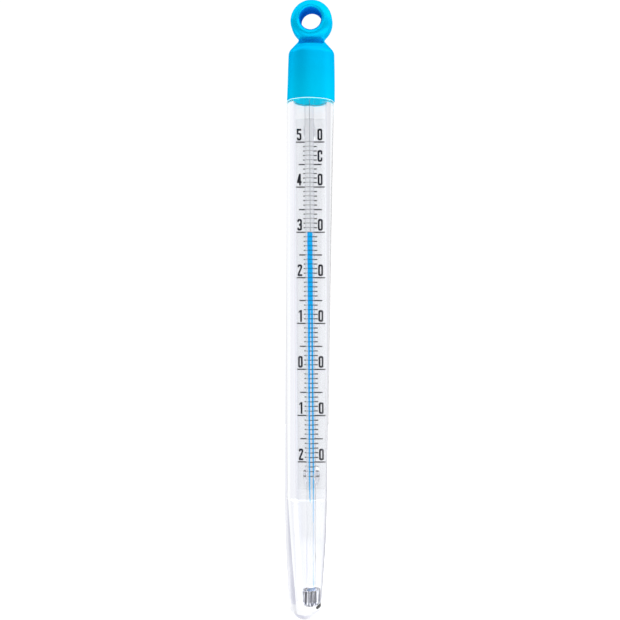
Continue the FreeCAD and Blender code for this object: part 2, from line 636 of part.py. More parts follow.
# ----------------------------------------------------------- adhesive drops
def drop(label, depth_alias, half_width, half_length, depth):
    """Clear drop that beds the stem on the strip: an ellipsoid, kept in front
    of the print and cut out round the stem."""
    blob = doc.addObject("Part::Ellipsoid", label + "_blob")
    bind(blob, Radius1=D(depth), Radius2=D(half_width), Radius3=D(half_length))
    # Radius1 lies on local Z and Radius3 on local Y: turned so that the long
    # radius runs up the stem and the depth points to the front
    local = FreeCAD.Placement(
        FreeCAD.Vector(0, N("strip_front_y"), N("strip_top_z") - N(depth_alias)),
        FreeCAD.Rotation(FreeCAD.Vector(1, 0, 0), 90))
    blob.Placement = strip_frame.multiply(local)
    x_here = N("stem_top_x") + math.tan(math.radians(N("stem_lean_deg"))) * (
        N(depth_alias) - N("stem_ref_z"))
    x_strip = N("strip_top_x") + math.tan(math.radians(N("strip_lean_deg"))) * (
        N(depth_alias) - N("strip_top_z"))
    blob.Placement.Base.x += x_here - x_strip
    keep = doc.addObject("Part::Box", label + "_keep")
    bind(keep, Length=D("strip_width") * 2, Width=D(depth) * 2, Height=D(half_length) * 4)
    keep.Placement = strip_frame.multiply(FreeCAD.Placement(FreeCAD.Vector(
        -N("strip_width"), N("strip_front_y") - N("drop_clear") - 2 * N(depth),
        N("strip_top_z") - N(depth_alias) - 2 * N(half_length)), FreeCAD.Rotation()))
    front = doc.addObject("Part::Common", label + "_front")
    front.Base = blob
    front.Tool = keep
    rod = doc.addObject("Part::Cylinder", label + "_rod")
    bind(rod, Radius=D("stem_rad") + 0.004, Height=D(half_length) * 4)
    rod.Placement = stem_frame.multiply(FreeCAD.Placement(FreeCAD.Vector(
        0, 0, N("stem_ref_z") - N(depth_alias) - 2 * N(half_length)), FreeCAD.Rotation()))
    cut = doc.addObject("Part::Cut", label)
    cut.Base = front
    cut.Tool = rod
    cut.Label = label
    doc.recompute()
    return cut


drop_top = drop("upper_stem_adhesive", "drop_top_z", "drop_top_halfwidth",
                "drop_top_halflength", "drop_top_depth")
drop_low = drop("lower_stem_adhesive", "drop_low_z", "drop_low_halfwidth",
                "drop_low_halflength", "drop_low_depth")

# -------------------------------------------------------------------- write
doc.recompute()
NODES = [cap, bond, tube, strip, marks, numerals, stem, bulb, fill, thread, top,
         ballast, bed, drop_top, drop_low]
for item in doc.Objects:
    bad = [word for word in item.State if word in ("Invalid", "Error")]
    if bad:
        raise RuntimeError("%s is %s" % (item.Name, bad))
for node in NODES:
    shape = node.Shape
    if shape.isNull() or not shape.isValid():
        raise RuntimeError("%s has no valid shape" % node.Label)
    box = shape.optimalBoundingBox(True, False)
    print("%-22s solids %3d  volume %10.3f  x %.2f..%.2f  y %.2f..%.2f  z %.2f..%.2f" % (
        node.Label, len(shape.Solids), shape.Volume,
        box.XMin, box.XMax, box.YMin, box.YMax, box.ZMin, box.ZMax))
os.makedirs("parts", exist_ok=True)
for node in NODES:
    node.Shape.exportStep(os.path.join("parts", node.Label + ".step"))
print("joint axis", tuple(round(c, 6) for c in stem_frame.Rotation.multVec(FreeCAD.Vector(0, 0, 1))))
print("rest mark 30:", round(-mark_depth(30), 3), "50:", round(-mark_depth(50), 3),
      "-20:", round(-mark_depth(-20), 3), "-23:", round(-mark_depth(-23), 3))
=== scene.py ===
import math
import bmesh
import bpy
import numpy as np
from mathutils import Matrix, Vector


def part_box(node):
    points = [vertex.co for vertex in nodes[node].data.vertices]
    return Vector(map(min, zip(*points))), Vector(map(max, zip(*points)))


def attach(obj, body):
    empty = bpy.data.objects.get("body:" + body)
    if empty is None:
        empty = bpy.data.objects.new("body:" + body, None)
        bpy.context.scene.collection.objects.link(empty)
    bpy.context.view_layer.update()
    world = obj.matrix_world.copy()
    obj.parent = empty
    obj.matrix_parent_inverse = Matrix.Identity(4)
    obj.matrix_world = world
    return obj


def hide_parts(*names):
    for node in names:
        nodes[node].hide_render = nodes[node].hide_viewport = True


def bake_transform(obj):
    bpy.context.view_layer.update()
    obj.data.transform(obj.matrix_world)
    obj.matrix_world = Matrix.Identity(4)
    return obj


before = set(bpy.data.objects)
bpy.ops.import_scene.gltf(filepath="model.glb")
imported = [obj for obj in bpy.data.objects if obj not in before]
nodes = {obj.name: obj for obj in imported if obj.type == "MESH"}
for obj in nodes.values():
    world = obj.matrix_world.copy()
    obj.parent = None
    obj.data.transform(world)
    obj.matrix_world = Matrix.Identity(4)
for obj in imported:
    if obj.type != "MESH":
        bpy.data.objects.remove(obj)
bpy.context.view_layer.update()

scene = bpy.context.scene
MM = 0.001
STRIP_ALPHA = 0.13
COL_X = -0.05                              # the bore sits a hair left of the stem's middle
INK_MID = 0.07                             # middle of the print seen through the bore
COL_W = 0.445                              # half width of the dyed column

# ------------------------------------------------------------ shared numbers
# Millimetres in the row frame, origin at the eyelet bore centre, +Z up.
tube_lo, tube_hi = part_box("housing_tube")
cap_lo, cap_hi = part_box("eyelet_cap")
TIP = tube_lo.z / MM                       # -209.35
RIM = cap_lo.z / MM                        # -28.10
SPIGOT_TOP = tube_hi.z / MM                # -20.10
SEAM = -166.30
CORE_LEAN = math.radians(0.55)
STEM_LEAN = math.radians(0.72)
STRIP_LEAN = math.radians(0.684)
STEM_X, STEM_Y, STEM_REF = -0.45, -0.36, -29.0
STRIP_X, STRIP_TOP, STRIP_FRONT = -0.25, -33.95, 0.95
STRIP_W, STRIP_L, STRIP_T = 10.85, 129.85, 0.30
STEM_R, STEM_FLAT = 1.62, 1.25
FOOT = -197.5
REST_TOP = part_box("thread_top")[1].z / MM  # the column's end at 30 degrees


def leaning(points, x0, y0, z_ref, angle):
    """Local points (z measured from z_ref) of a piece whose foot swings to +X."""
    p = np.asarray(points, float)
    c, s = math.cos(angle), math.sin(angle)
    out = np.empty_like(p)
    out[:, 0] = x0 + p[:, 0] * c - p[:, 2] * s
    out[:, 1] = y0 + p[:, 1]
    out[:, 2] = z_ref + p[:, 0] * s + p[:, 2] * c
    return out


def stem_space(points):
    return leaning(points, STEM_X, STEM_Y, STEM_REF, STEM_LEAN)


def core_space(points):
    return leaning(points, 0.0, 0.0, RIM, CORE_LEAN)


def strip_space(points):
    return leaning(points, STRIP_X, 0.0, STRIP_TOP, STRIP_LEAN)


def make(name, points, faces, smooth=True, angle=None):
    """A mesh object from points in millimetres."""
    mesh = bpy.data.meshes.new(name)
    mesh.from_pydata((np.asarray(points) * MM).tolist(), [], [tuple(int(i) for i in f) for f in faces])
    mesh.validate()
    mesh.update()
    obj = bpy.data.objects.new(name, mesh)
    scene.collection.objects.link(obj)
    for poly in mesh.polygons:
        poly.use_smooth = smooth
    if angle is not None:
        mesh.set_sharp_from_angle(angle=math.radians(angle))
    return obj


def rings_mesh(name, rings, closed_start=True, closed_end=True, loop=False, angle=None, transform=None):
    """Skin over a list of point rings of equal count; single points close the ends."""
    count = len(rings[0])
    points = np.vstack(rings)
    faces = []
    n = len(rings)
    idx = np.arange(count)
    nxt = (idx + 1) % count
    last = n if loop else n - 1
    for i in range(last):
        a, b = i * count, ((i + 1) % n) * count
        faces += list(zip(a + idx, a + nxt, b + nxt, b + idx))
    extra = []
    if closed_start and not loop:
        extra.append(rings[0].mean(0))
        c = len(points)
        faces += [(c, nxt_i, i) for i, nxt_i in zip(idx, nxt)]
    if closed_end and not loop:
        extra.append(rings[-1].mean(0))
        c = len(points) + len(extra) - 1
        base = (n - 1) * count
        faces += [(c, base + i, base + j) for i, j in zip(idx, nxt)]
    if extra:
        points = np.vstack([points] + [e[None] for e in extra])
    if transform is not None:
        points = transform(points)
    return make(name, points, faces, angle=angle)


def ring(r, z, segments, cx=0.0, cy=0.0):
    t = np.arange(segments) * 2 * math.pi / segments
    r = np.broadcast_to(r, t.shape)
    return np.stack([cx + r * np.cos(t), cy + r * np.sin(t), np.full_like(t, z)], 1)


def smooth_curve(xs, ys, at):
    """Monotone cubic through the points, so that a drafted wall has no kinks."""
    xs, ys, at = (np.asarray(v, float) for v in (xs, ys, at))
    h = np.diff(xs)
    d = np.diff(ys) / h
    m = np.zeros_like(ys)
    m[1:-1] = np.where(d[:-1] * d[1:] > 0, 2 * d[:-1] * d[1:] / (d[:-1] + d[1:] + 1e-12), 0)
    m[0], m[-1] = d[0], d[-1]
    k = np.clip(np.searchsorted(xs, at) - 1, 0, len(xs) - 2)
    t = (at - xs[k]) / h[k]
    return ((1 + 2 * t) * (1 - t) ** 2 * ys[k] + t * (1 - t) ** 2 * h[k] * m[k]
            + t * t * (3 - 2 * t) * ys[k + 1] + t * t * (t - 1) * h[k] * m[k + 1])


# ------------------------------------------------------------------ materials
def material(name):
    m = bpy.data.materials.new(name)
    m.use_nodes = True
    return m, m.node_tree, m.node_tree.nodes["Principled BSDF"]


def node(tree, kind, **values):
    n = tree.nodes.new(kind)
    for key, val in values.items():
        setattr(n, key, val)
    return n


def object_coords(tree, scale=(1, 1, 1)):
    tc = tree.nodes.new("ShaderNodeTexCoord")
    mp = tree.nodes.new("ShaderNodeMapping")
    mp.inputs["Scale"].default_value = scale
    tree.links.new(tc.outputs["Object"], mp.inputs["Vector"])
    return mp.outputs["Vector"]


def noise(tree, vector, scale, detail=3.0, rough=0.5):
    n = tree.nodes.new("ShaderNodeTexNoise")
    n.inputs["Scale"].default_value = scale
    n.inputs["Detail"].default_value = detail
    n.inputs["Roughness"].default_value = rough
    tree.links.new(vector, n.inputs["Vector"])
    return n.outputs["Fac"]


def ramp(tree, fac, stops):
    n = tree.nodes.new("ShaderNodeValToRGB")
    el = n.color_ramp.elements
    el[0].position, el[1].position = stops[0][0], stops[-1][0]
    el[0].color, el[1].color = (*stops[0][1], 1.0), (*stops[-1][1], 1.0)
    for pos, col in stops[1:-1]:
        el.new(pos).color = (*col, 1.0)
    tree.links.new(fac, n.inputs["Fac"])
    return n.outputs["Color"]


def spread(tree, fac, lo, hi, frm=(0.3, 0.7)):
    n = tree.nodes.new("ShaderNodeMapRange")
    n.inputs["From Min"].default_value, n.inputs["From Max"].default_value = frm
    n.inputs["To Min"].default_value, n.inputs["To Max"].default_value = lo, hi
    tree.links.new(fac, n.inputs["Value"])
    return n.outputs["Result"]


def bump(tree, bsdf, height, strength, distance):
    n = tree.nodes.new("ShaderNodeBump")
    n.inputs["Strength"].default_value = strength
    n.inputs["Distance"].default_value = distance
    tree.links.new(height, n.inputs["Height"])
    tree.links.new(n.outputs["Normal"], bsdf.inputs["Normal"])


def math_node(tree, op, a, b=None, clamp=False):
    n = tree.nodes.new("ShaderNodeMath")
    n.operation = op
    n.use_clamp = clamp
    for i, v in enumerate((a, b)):
        if v is None:
            continue
        if isinstance(v, (int, float)):
            n.inputs[i].default_value = v
        else:
            tree.links.new(v, n.inputs[i])
    return n.outputs[0]


def mix_color(tree, fac, a, b):
    """Blend of two colours or numbers."""
    n = tree.nodes.new("ShaderNodeMix")
    n.data_type = "RGBA"
    for sock, v in ((n.inputs[0], fac), (n.inputs[6], a), (n.inputs[7], b)):
        if isinstance(v, (int, float)):
            sock.default_value = v
        elif isinstance(v, tuple):
            sock.default_value = (*v, 1.0)
        else:
            tree.links.new(v, sock)
    return n.outputs[2]


def cap_material(name, low, high, gloss=0.22, rough=(0.285, 0.300), glow=0.0, painted_skirt_light=False):
    """Blue moulded plastic: soft semi-gloss with a blue cast, faint flow marks and
    a slow drift of the haze along the moulding."""
    m, t, b = material(name)
    flow = noise(t, object_coords(t, (120, 120, 40)), 1.0, 3.0, 0.45)
    haze = noise(t, object_coords(t, (110, 110, 60)), 1.0, 1.0, 0.4)
    sep = t.nodes.new("ShaderNodeSeparateXYZ")
    t.links.new(object_coords(t, (1, 1, 1)), sep.inputs["Vector"])
    col = ramp(t, flow, [(0.30, low), (0.70, high)])
    # painted shade and light: the skirt is darker towards the neck and lighter towards the rim
    if painted_skirt_light:
        skirt_shaded = ramp(t, flow, [(0.30, (0.0, low[1] * 0.87, low[2] * 0.95)), (0.70, (0.0, high[1] * 0.87, high[2] * 0.95))])
        skirt_lit = ramp(t, flow, [(0.30, (0.0, low[1] * 1.08, low[2] * 1.03)), (0.70, (0.0, high[1] * 1.08, high[2] * 1.03))])
        body = step_node(t, sep.outputs["Z"], -0.0100, -0.0082, 1.0, 0.0)
        col = mix_color(t, body, col, mix_color(t, step_node(t, sep.outputs["Z"], -0.0290, -0.0100, 1.0, 0.0), skirt_shaded, skirt_lit))
    t.links.new(col, b.inputs["Base Color"])
    t.links.new(spread(t, haze, *rough), b.inputs["Roughness"])
    b.inputs["Metallic"].default_value = gloss
    b.inputs["Specular IOR Level"].default_value = 0.0
    # glow: a painted glow through the base colour, used for the painted backlight of the cap's inner face
    if glow:
        t.links.new(col, b.inputs["Emission Color"])
        b.inputs["Emission Strength"].default_value = glow
    b.inputs["Specular Tint"].default_value = (0.05, 0.62, 0.95, 1.0)
    return m


def clear_plastic(name, tint=(0.985, 0.985, 0.995), ior=1.49, rough=0.0, ripple=0.0):
    """Clear moulding with faint draw marks along its length."""
    m, t, b = material(name)
    soft = noise(t, object_coords(t, (160, 160, 12)), 1.0, 2.0, 0.5)
    t.links.new(ramp(t, soft, [(0.3, tint), (0.7, tuple(min(1.0, c + 0.01) for c in tint))]), b.inputs["Base Color"])
    b.inputs["Transmission Weight"].default_value = 1.0
    b.inputs["IOR"].default_value = ior
    t.links.new(spread(t, soft, rough, rough + 0.012), b.inputs["Roughness"])
    if ripple:
        bump(t, b, soft, ripple, 0.0002)
    return m


def strip_material():
    """Opal film: milky white with a cool cast, lets part of the light through."""
    m, t, b = material("opal_strip")
    cloud = noise(t, object_coords(t, (90, 90, 60)), 1.0, 4.0, 0.55)
    t.links.new(ramp(t, cloud, [(0.3, (0.95, 0.94, 0.945)), (0.7, (0.98, 0.97, 0.975))]), b.inputs["Base Color"])
    t.links.new(spread(t, cloud, 0.45, 0.62), b.inputs["Roughness"])
    b.inputs["Specular IOR Level"].default_value = 0.3
    b.inputs["Alpha"].default_value = STRIP_ALPHA
    return m


def across_stem(tree, x, z):
    """Distance to the right of the stem's leaning axis, in millimetres."""
    c, sn = math.cos(STEM_LEAN), math.sin(STEM_LEAN)
    n = math_node(tree, "ADD", math_node(tree, "MULTIPLY", x, c / MM), math_node(tree, "MULTIPLY", z, sn / MM))
    return math_node(tree, "ADD", n, -(STEM_X * c + STEM_REF * sn))


def step_node(tree, value, lo, hi, a=0.0, b=1.0):
    n = tree.nodes.new("ShaderNodeMapRange")
    n.interpolation_type = "SMOOTHSTEP"
    for key, val in (("From Min", lo), ("From Max", hi), ("To Min", a), ("To Max", b)):
        n.inputs[key].default_value = val
    tree.links.new(value, n.inputs["Value"])
    return n.outputs["Result"]


def ink_material(name, dark=(0.002, 0.003, 0.012), pale=(0.010, 0.011, 0.025), painted_glare=False):
    """Screen print: dense black with small pinholes of thinner ink. Beside the
    bore and all along above the column the lines are made faint: a painted
    highlight standing in for the light the stem's glass lays over them."""
    m, t, b = material(name)
    grain = noise(t, object_coords(t, (2600, 2600, 2600)), 1.0, 3.0, 0.6)
    col = ramp(t, grain, [(0.45, dark), (0.75, pale)])
    if painted_glare:
        # painted highlight: alpha fades the lines beside the bore and above the column
        tc = t.nodes.new("ShaderNodeTexCoord")
        sep = t.nodes.new("ShaderNodeSeparateXYZ")
        t.links.new(tc.outputs["Object"], sep.inputs["Vector"])
        side = across_stem(t, sep.outputs["X"], sep.outputs["Z"])
        dist = math_node(t, "ABSOLUTE", math_node(t, "SUBTRACT", side, INK_MID))
        away = math_node(t, "SUBTRACT", side, INK_MID)
        reach = math_node(t, "MAXIMUM", math_node(t, "MULTIPLY", away, -1.0), math_node(t, "MULTIPLY", away, 0.74))
        beside = step_node(t, reach, 0.90, 1.05, 0.13, 0.85)
        behind = step_node(t, sep.outputs["Z"], (REST_TOP - 0.3) * MM, (REST_TOP + 0.3) * MM, 0.46, 0.12)
        cover = mix_color(t, step_node(t, dist, 0.34, 0.42), behind, beside)
        t.links.new(cover, b.inputs["Alpha"])
    t.links.new(col, b.inputs["Base Color"])
    t.links.new(spread(t, grain, 0.45, 0.7), b.inputs["Roughness"])
    b.inputs["Specular IOR Level"].default_value = 0.1
    return m


def liquid_material():
    """Dyed liquid in the flat bore: strong clear blue, thinner towards the bulb, with a painted highlight to the right
    and a painted glow.
    """
    m, t, b = material("blue_column")
    tc = t.nodes.new("ShaderNodeTexCoord")
    sep = t.nodes.new("ShaderNodeSeparateXYZ")
    t.links.new(tc.outputs["Object"], sep.inputs["Vector"])
    across = across_stem(t, sep.outputs["X"], sep.outputs["Z"])
    z = sep.outputs["Z"]
    # lighter towards the right of the bore: painted highlight across the thread
    blue = mix_color(t, step_node(t, across, -0.40, 0.30), (0.0, 0.53, 1.0), (0.0, 0.61, 1.0))
    blue = mix_color(t, step_node(t, z, -0.178, -0.140, 1.0, 0.0), blue, (0.22, 0.70, 1.0))
    cloud = noise(t, object_coords(t, (700, 700, 40)), 1.0, 2.0)
    t.links.new(mix_color(t, spread(t, cloud, 0.0, 0.12), blue, (0.0, 0.64, 1.0)), b.inputs["Base Color"])
    t.links.new(spread(t, cloud, 0.0, 0.03), b.inputs["Roughness"])
    b.inputs["Transmission Weight"].default_value = 0.90
    b.inputs["IOR"].default_value = 1.02
    # painted glow: a faint blue emission that brightens the dye
    b.inputs["Emission Color"].default_value = (0.0, 0.35, 1.0, 1.0)
    b.inputs["Emission Strength"].default_value = 0.10
    b.inputs["Specular IOR Level"].default_value = 0.0
    return m


def ballast_material():
    """Bright turned metal; the dark and light streaks along its length are painted reflections, and a painted highlight
    lightens its lowest end.
    """
    m, t, b = material("ballast_metal_painted_reflections")
    streak = noise(t, object_coords(t, (1500, 1500, 45)), 1.0, 3.0, 0.62)
    tc = t.nodes.new("ShaderNodeTexCoord")
    sep = t.nodes.new("ShaderNodeSeparateXYZ")
    t.links.new(tc.outputs["Object"], sep.inputs["Vector"])
    # painted highlight: the streaks are lightened at the lowest end of the weight
    streak = math_node(t, "ADD", streak, step_node(t, sep.outputs["Z"], -0.2046, -0.2030, 0.06, 0.0))
    t.links.new(ramp(t, streak, [(0.45, (0.002, 0.004, 0.03)), (0.49, (0.03, 0.035, 0.09)), (0.525, (0.48, 0.49, 0.56)),
                                 (0.60, (0.97, 0.97, 0.98))]), b.inputs["Base Color"])
    b.inputs["Metallic"].default_value = 1.0
    t.links.new(spread(t, streak, 0.22, 0.42), b.inputs["Roughness"])
    bump(t, b, streak, 0.35, 0.0002)
    return m


CAP = cap_material("cap_blue_plastic", (0.0, 0.395, 0.655), (0.0, 0.415, 0.675), 0.26, (0.285, 0.300), painted_skirt_light=True)
# painted backlight: the cap's inner face is made bright and glowing, standing in for light through the skirt wall
BACKLIT_INNER_FACE = cap_material("cap_blue_inner_face_painted_backlight", (0.0, 0.72, 0.95), (0.0, 0.78, 0.97), 0.0, (0.4, 0.5), 0.42)
# painted shade: the wall of the ring's bore is made dark
SHADED_BORE_FACE = cap_material("cap_blue_bore_face_painted_shade", (0.0, 0.11, 0.54), (0.0, 0.18, 0.62), 0.0, (0.3, 0.4))
# painted shade: the flat recess at the neck is made darker
SHADED_RELIEF_FACE = cap_material("cap_blue_relief_face_painted_shade", (0.0, 0.26, 0.68), (0.0, 0.31, 0.72), 0.05, (0.4, 0.5))
CLEAR = clear_plastic("housing_clear", tint=(0.955, 0.965, 0.985))
GLASS = clear_plastic("stem_glass", tint=(0.985, 0.99, 0.995), ior=1.50, rough=0.0)
GLUE = clear_plastic("clear_adhesive", tint=(0.97, 0.975, 0.99), ior=1.46, rough=0.02, ripple=0.2)
THIN_GLUE = clear_plastic("clear_adhesive_thin", tint=(0.98, 0.98, 0.99), ior=1.08, rough=0.02)
OPAL = strip_material()
INK = ink_material("scale_ink")
LINES = ink_material("scale_line_ink", painted_glare=True)
BLUE = liquid_material()
STEEL = ballast_material()


def paint(obj, mat):
    obj.data.materials.clear()
    obj.data.materials.append(mat)
    return obj


# --------------------------------------------------------------- eyelet cap
def corner(a, b, r):
    """Intersection of two signed distances with a round edge of radius r."""
    return np.minimum(-r, np.maximum(a, b)) + np.sqrt(np.maximum(a + r, 0) ** 2 + np.maximum(b + r, 0) ** 2)


def soft_union(a, b, k):
    h = np.clip(0.5 + 0.5 * (b - a) / k, 0, 1)
    return b * (1 - h) + a * h - k * h * (1 - h)


def rounded_box(px, py, pz, hx, hy, hz, r):
    qx, qy, qz = np.abs(px) - hx + r, np.abs(py) - hy + r, np.abs(pz) - hz + r
    out = np.sqrt(np.maximum(qx, 0) ** 2 + np.maximum(qy, 0) ** 2 + np.maximum(qz, 0) ** 2)
    return out + np.minimum(np.maximum(qx, np.maximum(qy, qz)), 0) - r


RELIEF_Y, RELIEF_Z = 2.35, -7.70           # floor and middle of the flat recess at the neck


def cap_field(x, y, z):
    """Signed distance of the cap: ring, neck, shoulder and hollow skirt."""
    hole = 3.62 - np.sqrt(x * x + z * z)
    outer = np.sqrt((x - 0.14) ** 2 + (z + 0.29) ** 2) - 7.26
    faces = np.abs(y) - 4.72
    ring_d = corner(corner(faces, outer, 2.75), hole, 1.35)
    off = x - np.interp(z, [-28.1, -22.0, -10.0], [0.18, 0.24, 0.21])
    neck = rounded_box(off, y, z + 6.6, 4.4, 2.75, 2.9, 0.7)
    axis = np.sqrt(off * off + y * y)
    cone = (axis - 4.45) * 0.7415 + (z + 7.05) * 0.6709
    radius = np.interp(z, [-28.1, -17.0, -11.35, -5.0], [8.38, 8.17, 8.00, 7.78])
    skirt = corner(cone, axis - radius, 0.60)
    skirt = corner(skirt, z + 7.05, 0.35)
    skirt = corner(skirt, RIM - z, 0.22)
    socket = np.maximum(np.sqrt(x * x + y * y) - np.interp(z, [-28.1, -16.1], [6.82, 6.74]), z + 16.1)
    skirt = corner(skirt, -socket, 0.12)
    body = soft_union(skirt, neck, 0.5)
    body = soft_union(body, ring_d, 0.7)
    relief = rounded_box(off, np.abs(y) - RELIEF_Y - 4.0, z - RELIEF_Z, 4.45, 4.0, 1.18, 0.85)
    body = corner(body, -relief, 0.25)
    # the bore is cut clean through whatever joins the ring
    return np.maximum(body, np.where(faces > 0, -9.0, hole))


def surface_net(field, lo, hi, step):
    """Closed quad mesh of the zero level of a signed distance field."""
    axes = [np.arange(a, b + step, step) for a, b in zip(lo, hi)]
    X, Y, Z = np.meshgrid(*axes, indexing="ij")
    F = field(X, Y, Z).astype(np.float32)
    inside = F < 0
    nx, ny, nz = F.shape
    total = np.zeros((nx - 1, ny - 1, nz - 1), np.int32)
    point = np.zeros((nx - 1, ny - 1, nz - 1, 3), np.float64)
    cells = (slice(0, nx - 1), slice(0, ny - 1), slice(0, nz - 1))
    for axis in range(3):
        for u in (0, 1):
            for v in (0, 1):
                o = [0, 0, 0]
                others = [k for k in range(3) if k != axis]
                o[others[0]], o[others[1]] = u, v
                s0 = tuple(slice(o[k], o[k] + F.shape[k] - 1) for k in range(3))
                o1 = list(o)
                o1[axis] += 1
                s1 = tuple(slice(o1[k], o1[k] + F.shape[k] - 1) for k in range(3))
                cross = inside[s0] != inside[s1]
                f0, f1 = F[s0][cross], F[s1][cross]
                t = f0 / (f0 - f1)
                idx = np.argwhere(cross)
                p = np.empty((len(idx), 3))
                for k in range(3):
                    p[:, k] = idx[:, k] + o[k]
                p[:, axis] += t
                point[cross] += p
                total[cross] += 1
    used = total > 0
    ids = -np.ones(total.shape, np.int64)
    ids[used] = np.arange(used.sum())
    pts = point[used] / total[used][:, None]
    pts = np.array(lo)[None] + pts * step
    faces = []
    for axis in range(3):
        a, b = [k for k in range(3) if k != axis]
        s0 = [slice(1, n - 1) for n in F.shape]
        s0[axis] = slice(0, F.shape[axis] - 1)
        s1 = list(s0)
        s1[axis] = slice(1, F.shape[axis])
        i0, i1 = inside[tuple(s0)], inside[tuple(s1)]
        for rising in (True, False):
            hit = np.argwhere((i0 & ~i1) if rising else (~i0 & i1))
            if not len(hit):
                continue
            base = hit.copy()
            for k in range(3):
                if k != axis:
                    base[:, k] += 1
            quad = []
            for da, db in ((-1, -1), (0, -1), (0, 0), (-1, 0)):
                c = base.copy()
                c[:, a] += da
                c[:, b] += db
                quad.append(ids[c[:, 0], c[:, 1], c[:, 2]])
            quad = np.stack(quad, 1)
            flip = rising if axis != 1 else not rising
            faces.append(quad if flip else quad[:, ::-1])
    faces = np.vstack(faces)
    # settle the points on the surface itself
    e = step * 0.05
    for _ in range(4):
        f = field(pts[:, 0], pts[:, 1], pts[:, 2])
        g = np.stack([(field(pts[:, 0] + (e if k == 0 else 0), pts[:, 1] + (e if k == 1 else 0),
                             pts[:, 2] + (e if k == 2 else 0)) - f) / e for k in range(3)], 1)
        n2 = np.maximum((g * g).sum(1), 1e-6)
        move = (f / n2)[:, None] * g
        length = np.linalg.norm(move, axis=1, keepdims=True)
        pts = pts - move * np.minimum(1.0, 0.5 * step / np.maximum(length, 1e-9))
    return pts, faces


cap_step = 0.21
pts, faces = surface_net(cap_field, (-8.8, -8.8, -28.6), (8.8, 8.8, 7.8), cap_step)
cap = paint(make("moulded_cap", pts, faces), CAP)
h = 0.02
slope = np.stack([cap_field(pts[:, 0] + dx, pts[:, 1] + dy, pts[:, 2] + dz) - cap_field(pts[:, 0] - dx, pts[:, 1] - dy, pts[:, 2] - dz)
                  for dx, dy, dz in ((h, 0, 0), (0, h, 0), (0, 0, h))], 1)
slope /= np.maximum(np.linalg.norm(slope, axis=1, keepdims=True), 1e-9)
cap.data.normals_split_custom_set_from_vertices(slope.tolist())
for extra in (BACKLIT_INNER_FACE, SHADED_BORE_FACE, SHADED_RELIEF_FACE):
    cap.data.materials.append(extra)
for poly in cap.data.polygons:
    c = poly.center / MM
    # inner face of the skirt: painted backlight
    if c.z < -15.9 and math.hypot(c.x, c.y) < 7.0:
        poly.material_index = 1
    # wall of the ring's bore: painted shade
    elif math.hypot(c.x, c.z) < 4.05 and abs(c.y) < 4.3:
        poly.material_index = 2
    # floor of the neck recess: painted shade
    elif abs(abs(c.y) - RELIEF_Y) < 0.30 and abs(c.x - 0.19) < 4.4 and abs(c.z - RELIEF_Z) < 1.25:
        poly.material_index = 3
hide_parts("eyelet_cap")
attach(cap, "housing")

# ------------------------------------------------------------ joint bead
segments = 160
bead_profile = [(6.86, RIM - 0.01), (7.4, RIM + 0.0), (8.05, RIM - 0.005), (8.20, RIM + 0.01), (8.27, RIM - 0.05),
                (8.275, RIM - 0.10), (8.26, RIM - 0.14), (8.20, RIM - 0.20), (8.18, RIM - 0.34), (8.0, RIM - 0.38),
                (7.4, RIM - 0.36), (6.86, RIM - 0.30)]
bead = rings_mesh("cap_joint_bead", [ring(r, z, segments) for r, z in bead_profile], loop=True)
# cement joint: a pale colour of its own, made paler still as a painted highlight along the bead
mbd, tbd, bbd = material("joint_bead_cement_painted_highlight")
haze = noise(tbd, object_coords(tbd, (500, 500, 500)), 1.0, 3.0)
tbd.links.new(ramp(tbd, haze, [(0.3, (0.62, 0.82, 0.90)), (0.7, (0.80, 0.92, 0.96))]), bbd.inputs["Base Color"])
tbd.links.new(spread(tbd, haze, 0.25, 0.45), bbd.inputs["Roughness"])
paint(bead, mbd)
# the faces under the rim take the painted-backlight blue of the cap's inner face
bead.data.materials.append(BACKLIT_INNER_FACE)
for poly in bead.data.polygons:
    if poly.center.z / MM < RIM - 0.17:
        poly.material_index = 1
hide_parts("cap_bond_ring")
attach(bead, "housing")

# ------------------------------------------------------------ housing tube
rng = np.random.RandomState(7)
SEG = 288
theta = np.arange(SEG) * 2 * math.pi / SEG
ribs = np.zeros(SEG)
for k in range(9, 120, 3):
    ribs += rng.uniform(0.3, 1.0) * np.cos(k * theta + rng.uniform(0, 6.28)) / (k ** 0.35)
ribs /= np.abs(ribs).max()

out_z = [-205.5, -203.7, -200.4, -194.8, -189.2, -183.6, -178.0, -172.0, -166.60]
out_r = [5.45, 5.74, 6.01, 6.35, 6.72, 7.03, 7.27, 7.40, 7.485]
up_z = [-166.28, -150.0, -133.2, -115.0, -96.8, -80.0, -63.2, -45.0, -28.30]
up_r = [7.55, 7.59, 7.63, 7.67, 7.74, 7.83, 7.95, 8.11, 8.28]


def nose_ring(r, z):
    """The closed end runs out a touch to one side, as drawn glass and mouldings do."""
    pts = np.array(ring(r, z, SEG), float)
    pts[:, 0] += 0.16 * min(1.0, max(0.0, (-166.6 - z) / 14.0))
    return pts


rings = []
for a in np.linspace(2.0, 88.0, 26):          # round nose, from the tip upwards
    rr, zz = 5.74 * math.sin(math.radians(a)), TIP + 5.74 * (1 - math.cos(math.radians(a)))
    rings.append(nose_ring(rr, zz))
for z in np.linspace(-203.2, -166.9, 47):
    rings.append(nose_ring(float(smooth_curve(out_z, out_r, [z])[0]), z))
for r, z in ((7.490, -166.58), (7.500, -166.52), (7.515, -166.46), (7.535, -166.36)):
    rings.append(ring(r, z, SEG))
for z in np.linspace(-166.26, -28.42, 90):
    rings.append(ring(float(smooth_curve(up_z, up_r, [z])[0]), z, SEG))
for r, z in ((8.27, -28.34), (8.22, -28.27), (8.10, -28.25), (6.80, -28.25), (6.70, -28.18), (6.69, -28.0),
             (6.63, -20.5), (6.58, -20.18), (6.45, SPIGOT_TOP), (6.15, SPIGOT_TOP)):
    rings.append(ring(r, z, SEG))


